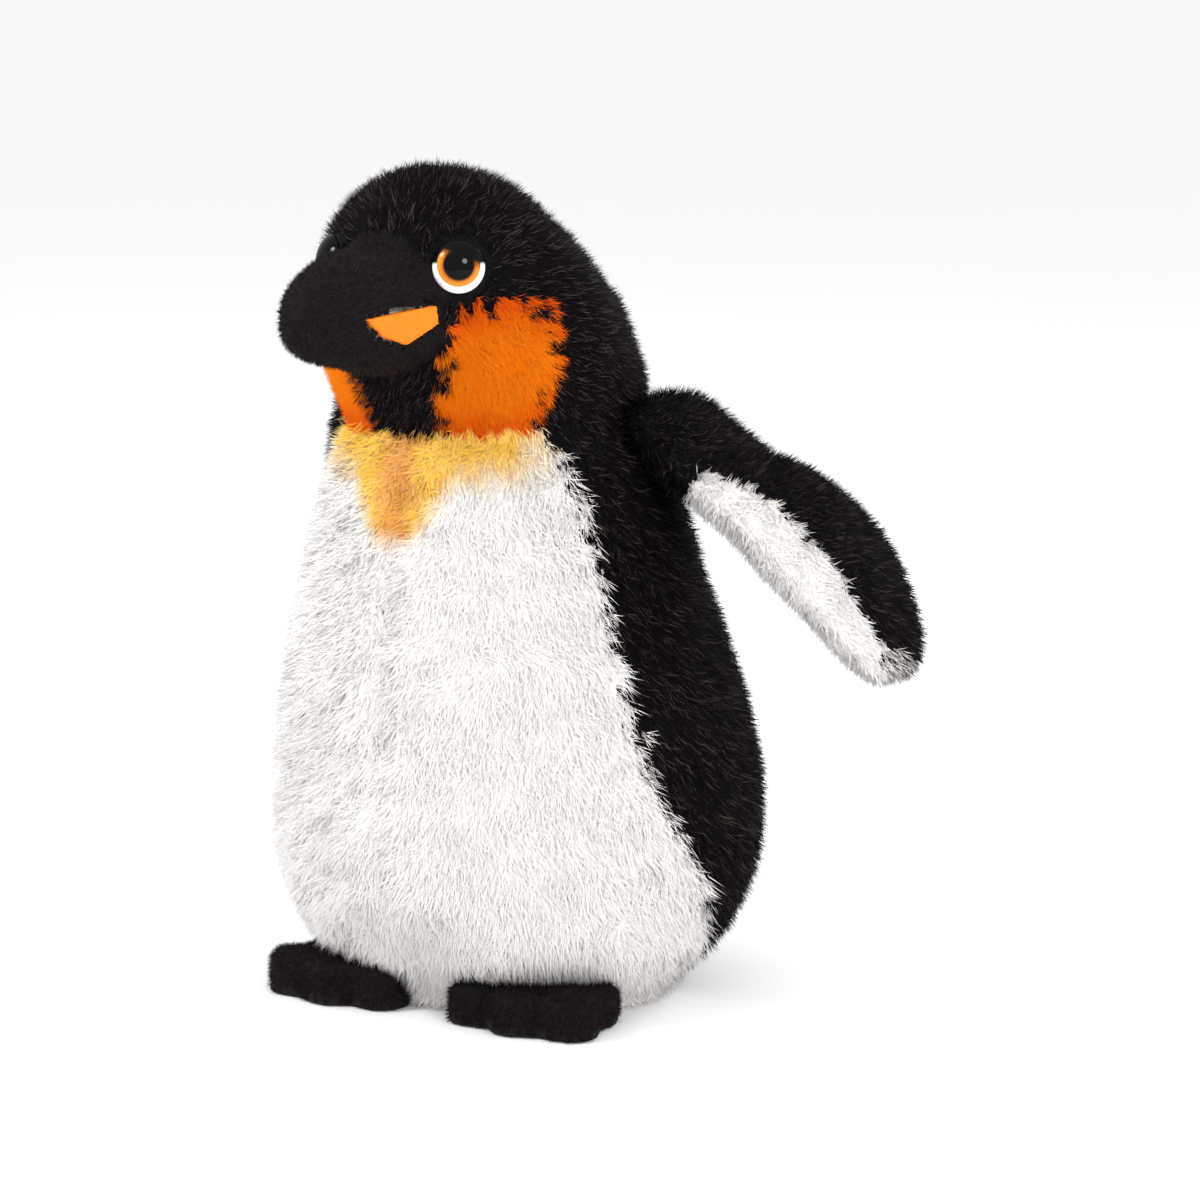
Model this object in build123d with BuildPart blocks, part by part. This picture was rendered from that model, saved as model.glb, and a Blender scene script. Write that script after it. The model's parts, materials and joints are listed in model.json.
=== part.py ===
"""Plush penguin, sewn from pile fabric panels round loose stuffing, standing on a flat base.

Millimetres. +Z is up, the penguin faces -Y and its left side is +X. The origin is on the floor, in the
middle of the base panel.
"""

from build123d import *
import math
import os

os.makedirs("parts", exist_ok=True)

# Driving dimensions
HEIGHT = 249.0  # floor to the crown, over the pile
NECK = 174.0  # height of the seam between body and head
SKIN = 5.0  # backing cloth with its packed pile
BASE_THICKNESS = 2.5
FAR = 300.0  # longer than anything in the model

# Body levels: height, half width, depth in front, depth behind, place of the widest line along Y
BODY_LEVELS = [
    (0, 46, 41, 47, 2),
    (9, 56, 46, 56, 2),
    (19, 64.5, 57.5, 64, 3),
    (34, 71, 70, 72, 4),
    (52, 74, 74.5, 75, 4.5),
    (70, 73, 74, 74, 4),
    (92, 69.5, 70, 70, 1),
    (113, 64, 64, 67, -3),
    (132, 58.5, 57, 64, -6),
    (152, 52, 51, 62, -8),
    (NECK, 43.5, 42.5, 59, -11.5),
]
HEAD_LEVELS = [
    (NECK, 43.5, 42.5, 59, -11.5),
    (186, 44.5, 43, 57.5, -15.5),
    (199, 45.5, 43, 50.5, -19),
    (212, 44, 41.5, 39.5, -22),
    (224, 40, 38, 27.5, -26),
    (235, 32, 31, 21, -31),
    (243, 22.5, 21.5, 16, -34),
    (HEIGHT, 8, 7, 6, -36),
]

# Side seam between white front and black back, as points along Y and Z
SIDE_SEAM = [(-35, NECK + 8), (-28, 143), (-28, 100), (-15, 59), (8, 27), (24, -6)]

# Cheek and chin panels, as front outlines of X and Z for the left side
CHEEK_BACK = 36.0  # the cheek ends this far in front of the origin
CHEEK_OUTLINE = [(10.5, NECK), (60, NECK), (60, 196), (42, 200), (36, 210), (20, 210), (17, 196)]
CHIN_OUTLINE = [(10.5, NECK), (17, 196), (20, 210)]

# Beak stations: distance in front of the origin, half width, half height, height of the middle
BEAK_STATIONS = [
    (50, 25, 20.5, 208.5),
    (66, 20, 19, 209),
    (80, 16, 16.8, 209.3),
    (92, 12.5, 13.2, 208.5),
    (100, 9.5, 10, 207.5),
    (105, 5, 5.5, 206.5),
]
BEAK_SKIN = 3.0
MOUTH = [(-FAR / 2, 202), (-66, 211)]  # mouth line, as points along Y and Z
STRIPE_OUTLINE = [(-89, 208.6), (-65, 211.2), (-64, 206), (-73, 200.5), (-82, 203.5)]

# Eyes
EYE_SEAT = (22.0, -57.2, 221.5)  # middle of the left eye on the face
EYE_TURN = 36.0  # degrees that the eye looks to the side
EYE_LIFT = 4.0  # degrees that the eye looks up
EYE_RADIUS = 7.6
EYE_DOME = 4.6  # how far the dome stands out
EYE_RIM = 0.8  # straight edge of the dome
EYE_FLANGE = 1.6
IRIS_RADIUS = 7.0
IRIS_THICKNESS = 0.6
SHANK_RADIUS = 2.0
SHANK_LENGTH = 16.0
WASHER_RADIUS = 7.0
WASHER_THICKNESS = 1.5
WASHER_DEPTH = 6.5

# Wings: distance from the shoulder, half chord, half thickness, swell of the middle line outwards,
# rise of the seam over the middle line. The seam also climbs towards the front edge, where the
# white inner panel wraps round.
WING_STATIONS = [
    (-7, 15, 5, 0, -2),
    (-3, 19, 8, 0.5, -2.5),
    (4, 23, 10.5, 2.5, -2),
    (24, 28, 13.5, 8, 1.5),
    (46, 28.5, 14, 9, 2.5),
    (65, 25.5, 12.8, 6.3, 2.5),
    (80, 19, 9.8, 2.3, 1.5),
    (88.5, 10, 4.5, -1, 0),
]
WING_SKIN = 3.0
WING_SEAM_SLOPE = 0.35
SHOULDER = (57.0, 16.0, 160.0)  # left wing's hinge line crosses here
LEFT_WING_DROOP = 50.5  # degrees between the wing and straight down, at rest
RIGHT_WING_DROOP = 14.0
RIGHT_WING_SWEEP = 30.0  # degrees the right wing trails behind straight down

# Feet
FOOT_PLACE = (33.0, -36.5)
FOOT_TOE_SPREAD = 15.5
FOOT_TOE_RADIUS = 10.0
FOOT_TOE_REACH = 8.5
FOOT_BACK = 17.0
FOOT_HALF_WIDTH = 22.0
FOOT_HEIGHT = 14.0
FOOT_ROUND = 4.5
FOOT_SKIN = 2.5

# Pellet bag
PELLET_TOP = 30.0
PELLET_MARGIN = 14.0

SIDES = {"left": 1, "right": -1}


def finish(piece, name):
    """Label a finished piece and write it."""
    piece.part.label = name
    export_step(piece.part, f"parts/{name}.step")


def envelope(levels, inset=0.0, squeeze=1.0):
    """Loft through level outlines, drawn in by inset and squeezed down towards the lowest level.

    A level is a half ellipse in front of its widest line and another behind it.
    """
    lowest = levels[0][0]
    with BuildPart() as form:
        for height, half_width, front, back, centre in levels:
            across = half_width - inset
            ahead = max(front - inset, 2)
            behind = max(back - inset, 2)
            with BuildSketch(Plane.XY.offset(lowest + (height - lowest) * squeeze)):
                with BuildLine():
                    EllipticalCenterArc((0, centre), across, behind, arc_size=180)
                    EllipticalCenterArc((0, centre), across, ahead, start_angle=180, arc_size=180)
                make_face()
        loft()
    return form


def mirrored(points, side):
    """Outline points on the left side, or their mirror image on the right."""
    return [(side * x, z) for x, z in points]


def keep_side(side):
    """Which half of a split along the middle plane belongs to a side."""
    return Keep.TOP if side > 0 else Keep.BOTTOM


# Envelopes: the outer surface of the pile, and the stuffing's surface inside the skin
body_outer = envelope(BODY_LEVELS)
head_outer = envelope(HEAD_LEVELS)
head_core = envelope(HEAD_LEVELS, SKIN, (HEIGHT - SKIN - NECK) / (HEIGHT - NECK))
with BuildPart() as body_core:
    add(envelope(BODY_LEVELS, SKIN).part)
    split(bisect_by=Plane.XY.offset(BASE_THICKNESS), keep=Keep.TOP)

# Eye pieces, made looking along +Z with the face's surface at Z = 0, then set into each side of the face
with BuildPart() as iris_form:
    with BuildSketch():
        Circle(IRIS_RADIUS)
    extrude(amount=IRIS_THICKNESS)

DOME_RISE = EYE_DOME - EYE_RIM
DOME_SPHERE = (EYE_RADIUS**2 + DOME_RISE**2) / (2 * DOME_RISE)
with BuildPart() as lens_form:
    with Locations((0, 0, EYE_DOME - DOME_SPHERE)):
        Sphere(DOME_SPHERE)
    with BuildSketch():
        Circle(EYE_RADIUS)
    extrude(amount=EYE_DOME, mode=Mode.INTERSECT)
    add(iris_form.part, mode=Mode.SUBTRACT)

with BuildPart() as shank_form:
    with BuildSketch(Plane.XY.offset(-EYE_FLANGE)):
        Circle(EYE_RADIUS)
    extrude(amount=EYE_FLANGE)
    with BuildSketch(Plane.XY.offset(-SHANK_LENGTH)):
        Circle(SHANK_RADIUS)
    extrude(amount=SHANK_LENGTH)

with BuildPart() as washer_form:
    with BuildSketch(Plane.XY.offset(-WASHER_DEPTH - WASHER_THICKNESS)):
        Circle(WASHER_RADIUS)
        Circle(SHANK_RADIUS, mode=Mode.SUBTRACT)
    extrude(amount=WASHER_THICKNESS)

with BuildPart() as seat_form:
    add(shank_form.part)
    add(washer_form.part)
    with BuildSketch():
        Circle(EYE_RADIUS)
    extrude(amount=4 * EYE_DOME)

EYE_FORMS = {"lens": lens_form, "iris": iris_form, "shank": shank_form, "washer": washer_form}
eye_seats = []
for side_name, side in SIDES.items():
    turn = math.radians(EYE_TURN)
    lift = math.radians(EYE_LIFT)
    look = (side * math.sin(turn) * math.cos(lift), -math.cos(turn) * math.cos(lift), math.sin(lift))
    seat = Plane(origin=(side * EYE_SEAT[0], EYE_SEAT[1], EYE_SEAT[2]), z_dir=look)
    for form_name, form in EYE_FORMS.items():
        with BuildPart() as eye_piece:
            with Locations(seat):
                add(form.part)
        finish(eye_piece, f"eye_{form_name}_{side_name}")
    with BuildPart() as eye_seat:
        with Locations(seat):
            add(seat_form.part)
    eye_seats.append(eye_seat.part)

# Head skin
with BuildPart() as head_skin:
    add(head_outer.part)
    add(head_core.part, mode=Mode.SUBTRACT)
    for eye_seat_part in eye_seats:
        add(eye_seat_part, mode=Mode.SUBTRACT)

with BuildPart() as chin_region:
    with BuildSketch(Plane.XZ):
        with BuildLine():
            Polyline(*CHIN_OUTLINE, *reversed(mirrored(CHIN_OUTLINE, -1)), close=True)
        make_face()
    extrude(amount=FAR)

with BuildPart() as chin_patch:
    add(head_skin.part)
    add(chin_region.part, mode=Mode.INTERSECT)
finish(chin_patch, "chin_patch")

for side_name, side in SIDES.items():
    with BuildPart() as cheek_region:
        with BuildSketch(Plane.XZ.offset(CHEEK_BACK)):
            with BuildLine():
                Polyline(*mirrored(CHEEK_OUTLINE, side), close=True)
            make_face()
        extrude(amount=FAR)

    with BuildPart() as cheek:
        add(head_skin.part)
        add(cheek_region.part, mode=Mode.INTERSECT)
    finish(cheek, f"cheek_{side_name}")

    with BuildPart() as hood:
        add(head_skin.part)
        split(bisect_by=Plane.YZ, keep=keep_side(side))
        add(cheek_region.part, mode=Mode.SUBTRACT)
        add(chin_region.part, mode=Mode.SUBTRACT)
    finish(hood, f"hood_{side_name}")

with BuildPart() as head_stuffing:
    add(head_core.part)
    for eye_seat_part in eye_seats:
        add(eye_seat_part, mode=Mode.SUBTRACT)
finish(head_stuffing, "head_stuffing")

# Beak
with BuildPart() as beak_outer:
    for reach, half_width, half_height, middle in BEAK_STATIONS:
        with BuildSketch(Plane.XZ.offset(reach)):
            with Locations((0, middle)):
                Ellipse(half_width, half_height)
    loft()
    add(head_outer.part, mode=Mode.SUBTRACT)
    for eye_seat_part in eye_seats:
        add(eye_seat_part, mode=Mode.SUBTRACT)

with BuildPart() as beak_stuffing:
    for reach, half_width, half_height, middle in BEAK_STATIONS[:-1]:
        with BuildSketch(Plane.XZ.offset(reach)):
            with Locations((0, middle)):
                Ellipse(half_width - BEAK_SKIN, half_height - BEAK_SKIN)
    loft()
    add(head_outer.part, mode=Mode.SUBTRACT)
finish(beak_stuffing, "beak_stuffing")

with BuildPart() as below_mouth:
    with BuildSketch(Plane.YZ):
        with BuildLine():
            Polyline(*MOUTH, (0, MOUTH[1][1] + 8), (0, 0), (-FAR / 2, 0), close=True)
        make_face()
    extrude(amount=FAR, both=True)

with BuildPart() as stripe_region:
    with BuildSketch(Plane.YZ):
        with BuildLine():
            Polyline(*STRIPE_OUTLINE, close=True)
        make_face()
    extrude(amount=FAR, both=True)

with BuildPart() as beak_upper:
    add(beak_outer.part)
    add(beak_stuffing.part, mode=Mode.SUBTRACT)
    add(below_mouth.part, mode=Mode.SUBTRACT)
    add(stripe_region.part, mode=Mode.SUBTRACT)
finish(beak_upper, "beak_upper")

with BuildPart() as beak_lower:
    add(beak_outer.part)
    add(beak_stuffing.part, mode=Mode.SUBTRACT)
    add(below_mouth.part, mode=Mode.INTERSECT)
    add(stripe_region.part, mode=Mode.SUBTRACT)
finish(beak_lower, "beak_lower")

for side_name, side in SIDES.items():
    with BuildPart() as stripe:
        add(beak_outer.part)
        add(beak_stuffing.part, mode=Mode.SUBTRACT)
        add(stripe_region.part, mode=Mode.INTERSECT)
        split(bisect_by=Plane.YZ, keep=keep_side(side))
    finish(stripe, f"beak_stripe_{side_name}")

# Body skin, base panel, stuffing and pellets
with BuildPart() as body_skin:
    add(body_outer.part)
    add(body_core.part, mode=Mode.SUBTRACT)
    split(bisect_by=Plane.XY.offset(BASE_THICKNESS), keep=Keep.TOP)

with BuildPart() as front_region:
    with BuildSketch(Plane.YZ):
        with BuildLine():
            Spline(*SIDE_SEAM)
            Polyline(SIDE_SEAM[-1], (-FAR, SIDE_SEAM[-1][1]), (-FAR, SIDE_SEAM[0][1]), SIDE_SEAM[0])
        make_face()
    extrude(amount=FAR, both=True)

for side_name, side in SIDES.items():
    with BuildPart() as belly:
        add(body_skin.part)
        split(bisect_by=Plane.YZ, keep=keep_side(side))
        add(front_region.part, mode=Mode.INTERSECT)
    finish(belly, f"belly_{side_name}")

    with BuildPart() as back:
        add(body_skin.part)
        split(bisect_by=Plane.YZ, keep=keep_side(side))
        add(front_region.part, mode=Mode.SUBTRACT)
    finish(back, f"back_{side_name}")

with BuildPart() as base_panel:
    add(body_outer.part)
    split(bisect_by=Plane.XY.offset(BASE_THICKNESS), keep=Keep.BOTTOM)
finish(base_panel, "base_panel")

with BuildPart() as pellet_bag:
    add(envelope(BODY_LEVELS[:4], PELLET_MARGIN).part)
    split(bisect_by=Plane.XY.offset(BASE_THICKNESS), keep=Keep.TOP)
    split(bisect_by=Plane.XY.offset(PELLET_TOP), keep=Keep.BOTTOM)
finish(pellet_bag, "pellet_bag")

with BuildPart() as body_stuffing:
    add(body_core.part)
    add(pellet_bag.part, mode=Mode.SUBTRACT)
finish(body_stuffing, "body_stuffing")

# Wings
seam_line = [(reach, swell + rise) for reach, _, _, swell, rise in WING_STATIONS]
for side_name, side in SIDES.items():
    droop = math.radians(LEFT_WING_DROOP if side > 0 else RIGHT_WING_DROOP)
    sweep = math.radians(0 if side > 0 else RIGHT_WING_SWEEP)
    hang = Vector(side * math.sin(droop), 0, -math.cos(droop))
    back = Vector(0, 1, 0)
    chord = back * math.cos(sweep) - hang * math.sin(sweep)
    shoulder = Plane(
        origin=(side * SHOULDER[0], SHOULDER[1], SHOULDER[2]),
        x_dir=chord * side,
        z_dir=hang * math.cos(sweep) + back * math.sin(sweep),
    )

    with BuildPart() as wing_outer_form:
        for reach, half_chord, half_thickness, swell, _ in WING_STATIONS:
            with BuildSketch(shoulder.offset(reach)):
                with Locations((0, swell)):
                    Ellipse(half_chord, half_thickness)
        loft()

    with BuildPart() as wing_stuffing:
        for reach, half_chord, half_thickness, swell, _ in WING_STATIONS[1:-1]:
            with BuildSketch(shoulder.offset(reach)):
                with Locations((0, swell)):
                    Ellipse(half_chord - WING_SKIN, half_thickness - WING_SKIN)
        loft()
    finish(wing_stuffing, f"wing_stuffing_{side_name}")

    with BuildPart() as outer_side:
        with BuildSketch(Plane(origin=shoulder.origin, x_dir=shoulder.z_dir, z_dir=-shoulder.x_dir)):
            with BuildLine():
                Spline(*seam_line)
                Line(seam_line[-1], (FAR, 0))
                Line((-FAR, 0), seam_line[0])
                Polyline((-FAR, 0), (-FAR, FAR), (FAR, FAR), (FAR, 0))
            make_face()
        extrude(amount=FAR, dir=shoulder.y_dir * WING_SEAM_SLOPE - chord, both=True)

    with BuildPart() as wing_outer:
        add(wing_outer_form.part)
        add(wing_stuffing.part, mode=Mode.SUBTRACT)
        add(outer_side.part, mode=Mode.INTERSECT)
    finish(wing_outer, f"wing_outer_{side_name}")

    with BuildPart() as wing_inner:
        add(wing_outer_form.part)
        add(wing_stuffing.part, mode=Mode.SUBTRACT)
        add(outer_side.part, mode=Mode.SUBTRACT)
    finish(wing_inner, f"wing_inner_{side_name}")


# Feet
def foot_outline(side, inset):
    """Plan of a foot, drawn in by inset: a heel behind three round toes."""
    place_x = side * FOOT_PLACE[0]
    with Locations((place_x, FOOT_PLACE[1] + FOOT_BACK / 2)):
        Ellipse(FOOT_HALF_WIDTH - inset, FOOT_BACK - inset)
    for toe in (-1, 0, 1):
        reach = FOOT_TOE_REACH if toe == 0 else FOOT_TOE_REACH - 3
        with Locations((place_x + toe * FOOT_TOE_SPREAD, FOOT_PLACE[1] - reach)):
            Circle(FOOT_TOE_RADIUS - inset)


for side_name, side in SIDES.items():
    with BuildPart() as foot_form:
        with BuildSketch():
            foot_outline(side, 0)
        extrude(amount=FOOT_HEIGHT)
        fillet(foot_form.faces().sort_by(Axis.Z)[-1].edges(), FOOT_ROUND)
        add(body_outer.part, mode=Mode.SUBTRACT)

    with BuildPart() as foot_stuffing:
        with BuildSketch(Plane.XY.offset(FOOT_SKIN)):
            foot_outline(side, FOOT_SKIN)
        extrude(amount=FOOT_HEIGHT - 2 * FOOT_SKIN)
        fillet(foot_stuffing.faces().sort_by(Axis.Z)[-1].edges(), FOOT_ROUND - 1)
        add(body_outer.part, mode=Mode.SUBTRACT)
    finish(foot_stuffing, f"foot_stuffing_{side_name}")

    with BuildPart() as foot_sole:
        add(foot_form.part)
        split(bisect_by=Plane.XY.offset(FOOT_SKIN), keep=Keep.BOTTOM)
    finish(foot_sole, f"foot_sole_{side_name}")

    with BuildPart() as foot_top:
        add(foot_form.part)
        split(bisect_by=Plane.XY.offset(FOOT_SKIN), keep=Keep.TOP)
        add(foot_stuffing.part, mode=Mode.SUBTRACT)
    finish(foot_top, f"foot_top_{side_name}")
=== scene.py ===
"""Looks of the plush penguin: stuffed cloth forms, cut into their sewn panels, each with its own pile.

Metres. +Z is up, the penguin faces -Y and its left side is +X.
"""

import json
import math

import bpy
import numpy as np
from mathutils import Matrix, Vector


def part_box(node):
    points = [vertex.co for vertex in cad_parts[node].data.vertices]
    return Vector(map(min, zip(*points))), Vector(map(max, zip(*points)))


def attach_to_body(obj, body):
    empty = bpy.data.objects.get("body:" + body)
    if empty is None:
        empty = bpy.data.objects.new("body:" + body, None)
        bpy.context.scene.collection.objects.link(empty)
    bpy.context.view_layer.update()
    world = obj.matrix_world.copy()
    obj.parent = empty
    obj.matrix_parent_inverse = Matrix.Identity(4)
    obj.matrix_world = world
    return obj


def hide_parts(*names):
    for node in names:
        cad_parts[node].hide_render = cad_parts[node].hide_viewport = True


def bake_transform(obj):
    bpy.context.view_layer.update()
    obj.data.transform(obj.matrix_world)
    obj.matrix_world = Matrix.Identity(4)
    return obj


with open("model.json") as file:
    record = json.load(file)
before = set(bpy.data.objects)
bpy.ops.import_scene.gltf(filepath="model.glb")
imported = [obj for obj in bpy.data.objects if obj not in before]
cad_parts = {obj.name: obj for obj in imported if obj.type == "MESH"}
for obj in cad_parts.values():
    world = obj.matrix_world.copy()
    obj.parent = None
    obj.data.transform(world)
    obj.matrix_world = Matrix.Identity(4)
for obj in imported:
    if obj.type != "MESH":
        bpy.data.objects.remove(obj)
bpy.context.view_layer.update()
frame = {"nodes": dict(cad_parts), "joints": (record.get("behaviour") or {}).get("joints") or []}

MM = 0.001
SIDES = {"left": 1, "right": -1}


# ---------------------------------------------------------------- measures taken from the frame
def middle(node):
    """Middle of a CAD node's box."""
    low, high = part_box(node)
    return (np.array(low) + np.array(high)) / 2


HEAD_MIDDLE = (middle("hood_left") + middle("hood_right")) / 2
NECK_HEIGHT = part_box("hood_left")[0][2]
BEAK_LOW, BEAK_HIGH = (np.array(corner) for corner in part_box("beak_upper"))
EYE_MIDDLES = {side: middle(f"eye_iris_{side}") for side in SIDES}
EYE_TURN = math.radians(36)  # how far an eye looks to the side
EYE_LIFT = math.radians(4)
EYE_RADIUS = 7.6 * MM
JOINTS = {joint["child"]: joint for joint in frame["joints"]}


def eye_look(side):
    """Unit vector along which an eye looks."""
    return np.array([
        SIDES[side] * math.sin(EYE_TURN) * math.cos(EYE_LIFT),
        -math.cos(EYE_TURN) * math.cos(EYE_LIFT),
        math.sin(EYE_LIFT),
    ])


def unit(vectors):
    """Rows scaled to length 1."""
    return vectors / (np.linalg.norm(vectors, axis=-1, keepdims=True) + 1e-12)


def smooth(value, low, high):
    """0 below low, 1 above high, and a smooth S between them."""
    t = np.clip((value - low) / (high - low), 0, 1)
    return t * t * (3 - 2 * t)


def wobble(points, wave, seed, count=7):
    """Smooth random vector field: a sum of sine waves in random directions, about one wave long."""
    draws = np.random.default_rng(seed)
    total = np.zeros_like(points)
    for _ in range(count):
        heading = unit(draws.normal(size=3)) * 2 * math.pi / (wave * draws.uniform(0.7, 1.5))
        phase = draws.uniform(0, 2 * math.pi, size=3)
        total += np.sin((points @ heading)[:, None] + phase)
    return total / math.sqrt(count)


# ---------------------------------------------------------------- materials
class Wire:
    """An output socket. Arithmetic on it adds Math nodes."""

    def __init__(self, finish, socket):
        self.finish = finish
        self.socket = socket

    def maths(self, operation, first, second):
        return self.finish.node("ShaderNodeMath", {"operation": operation}, {0: first, 1: second})[0]

    def __add__(self, other):
        return self.maths("ADD", self, other)

    def __sub__(self, other):
        return self.maths("SUBTRACT", self, other)

    def __rsub__(self, other):
        return self.maths("SUBTRACT", other, self)

    def __mul__(self, other):
        return self.maths("MULTIPLY", self, other)

    def __pow__(self, other):
        return self.maths("POWER", self, other)

    def most(self, other):
        return self.maths("MAXIMUM", self, other)

    def size(self):
        return self.maths("ABSOLUTE", self, 0.0)

    __radd__ = __add__
    __rmul__ = __mul__


class Outputs:
    """A node's outputs by name or number."""

    def __init__(self, finish, node):
        self.finish = finish
        self.made = node

    def __getitem__(self, key):
        return Wire(self.finish, self.made.outputs[key])


class Finish:
    """A material with a Principled shader, built node by node."""

    def __init__(self, name):
        self.material = bpy.data.materials.new(name)
        self.material.use_nodes = True
        self.tree = self.material.node_tree
        self.shader = self.tree.nodes["Principled BSDF"]

    def node(self, kind, settings=None, inputs=None):
        """Add a node: its settings first, then the values or links of its sockets."""
        made = self.tree.nodes.new(kind)
        for key, value in (settings or {}).items():
            setattr(made, key, value)
        for key, value in (inputs or {}).items():
            self.feed(made.inputs[key], value)
        return Outputs(self, made)

    def feed(self, socket, value):
        if isinstance(value, Wire):
            self.tree.links.new(value.socket, socket)
        elif isinstance(value, (tuple, list)) and len(socket.default_value) == 4:
            socket.default_value = (*value, 1)
        else:
            socket.default_value = value

    def set(self, **sockets):
        """Values or links for the shader's own sockets, with _ for spaces."""
        for name, value in sockets.items():
            self.feed(self.shader.inputs[name.replace("_", " ")], value)
        return self

    def place(self):
        return self.node("ShaderNodeTexCoord")["Object"]

    def parts(self, vector):
        return self.node("ShaderNodeSeparateXYZ", None, {0: vector})

    def noise(self, scale, detail=3.0, vector=None):
        where = vector if vector is not None else self.place()
        inputs = {"Vector": where, "Scale": scale, "Detail": detail}
        return self.node("ShaderNodeTexNoise", None, inputs)["Fac"]

    def mix(self, factor, first, second, blend="MIX"):
        settings = {"data_type": "RGBA", "blend_type": blend, "clamp_factor": True}
        return self.node("ShaderNodeMix", settings, {0: factor, 6: first, 7: second})[2]

    def step(self, value, low, high):
        """Smooth S from 0 at low to 1 at high."""
        inputs = {"Value": value, "From Min": low, "From Max": high}
        return self.node("ShaderNodeMapRange", {"interpolation_type": "SMOOTHSTEP"}, inputs)[0]

    def bump(self, height, strength, distance):
        inputs = {"Height": height, "Strength": strength, "Distance": distance}
        self.feed(self.shader.inputs["Normal"], self.node("ShaderNodeBump", None, inputs)["Normal"])
        return self

    def attribute(self, name):
        return self.node("ShaderNodeAttribute", {"attribute_name": name})["Fac"]


def bib_colour(finish, white):
    """Yellow airbrushing under the neck, running down the front seam to a point, over the white."""
    place = finish.parts(finish.place())
    across, height = place[0], place[2]
    drift = finish.noise(90.0) * 0.016 - 0.008
    width = (across + 0.001).size() + drift
    lift = height + drift
    collar = finish.step(lift, 0.155, 0.169) * (1 - finish.step(width, 0.030, 0.043))
    tongue_edge = (lift - 0.136) * 0.62 + 0.002
    tongue = (1 - finish.step(width - tongue_edge, -0.004, 0.005)) * finish.step(lift, 0.135, 0.146)
    yellow = finish.mix(finish.step(width, 0.001, 0.010), (0.86, 0.36, 0.018), (1.0, 0.57, 0.012))
    return finish.mix(collar.most(tongue) * 0.97, white, yellow)


def cheek_colour(finish, orange):
    """Orange that turns red towards the patch's edges."""
    place = finish.parts(finish.place())
    back, height = place[1], place[2]
    away = ((back + 0.047) * (back + 0.047) + (height - 0.192) * (height - 0.192)) ** 0.5
    edge = finish.step(away + finish.noise(160.0) * 0.008, 0.012, 0.026)
    return finish.mix(edge * 0.7, orange, (0.80, 0.055, 0.002))


def pile_finish(name, root, tip, tip_glints, paint=None, roughness=0.62, gloss=0.25, glint_share=0.72):
    """Strands: painted shade at the root fading to the tip colour along the strand, painted glints on a
    few paler strands, and slow drift.
    """
    finish = Finish(name)
    along = finish.attribute("along")
    shade = finish.attribute("shade")
    body_colour = paint(finish, tip) if paint else tip
    # Painted shade: the roots are darker, as shade down among the strands.
    root_shade = finish.mix(0.35, body_colour, root) if paint else root
    colour = finish.mix(finish.step(along, 0.0, 0.6), root_shade, body_colour)
    # Painted glints: a few strands turn paler towards their tips.
    glint_colour = paint(finish, tip_glints) if paint else tip_glints
    colour = finish.mix(finish.step(shade, glint_share, 1.0) * along * 0.8, colour, glint_colour)
    drift = finish.noise(35.0, 2.0)
    colour = finish.mix(drift * 0.2, colour, root_shade)
    finish.set(Base_Color=colour, Roughness=roughness + 0.2 * drift, Specular_IOR_Level=gloss)
    return finish.material


def cloth_finish(name, colour, paint=None):
    """Knitted backing cloth: small loops in rows, with drift in its colour."""
    finish = Finish(name)
    base = paint(finish, colour) if paint else colour
    knit = finish.node("ShaderNodeTexVoronoi", None, {"Vector": finish.place(), "Scale": 900.0})[0]
    drift = finish.noise(60.0)
    shaded = finish.mix(drift * 0.4, base, tuple(0.7 * part for part in colour))
    finish.set(Base_Color=shaded, Roughness=0.8 + 0.15 * drift, Specular_IOR_Level=0.15)
    return finish.bump(knit, 0.5, 0.0004).material


def felt_finish(name, colour, deep):
    """Brushed felt: matted fibres in two scales."""
    finish = Finish(name)
    fibres = finish.noise(1400.0, 4.0)
    patches = finish.noise(120.0, 3.0)
    shaded = finish.mix(patches * 0.6 + fibres * 0.3, colour, deep)
    finish.set(Base_Color=shaded, Roughness=0.8 + 0.12 * fibres, Specular_IOR_Level=0.15)
    return finish.bump(fibres, 0.6, 0.0005).material


def plastic_finish(name, colour):
    """Moulded plastic with a faint grain."""
    finish = Finish(name)
    grain = finish.noise(700.0, 3.0)
    shaded = finish.mix(grain * 0.3, colour, tuple(0.6 * part + 0.004 for part in colour))
    finish.set(Base_Color=shaded, Roughness=0.22 + 0.1 * grain, Specular_IOR_Level=0.5)
    return finish.bump(grain, 0.12, 0.0001).material


def fibre_finish(name, colour):
    """Loose fibre filling."""
    finish = Finish(name)
    tangle = {"Vector": finish.place(), "Scale": 260.0, "Detail": 8.0, "Distortion": 2.5}
    fibres = finish.node("ShaderNodeTexNoise", None, tangle)["Fac"]
    finish.set(Base_Color=finish.mix(fibres, colour, (0.7, 0.68, 0.63)), Roughness=0.85 + 0.1 * fibres)
    return finish.bump(fibres, 0.8, 0.002).material


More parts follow.
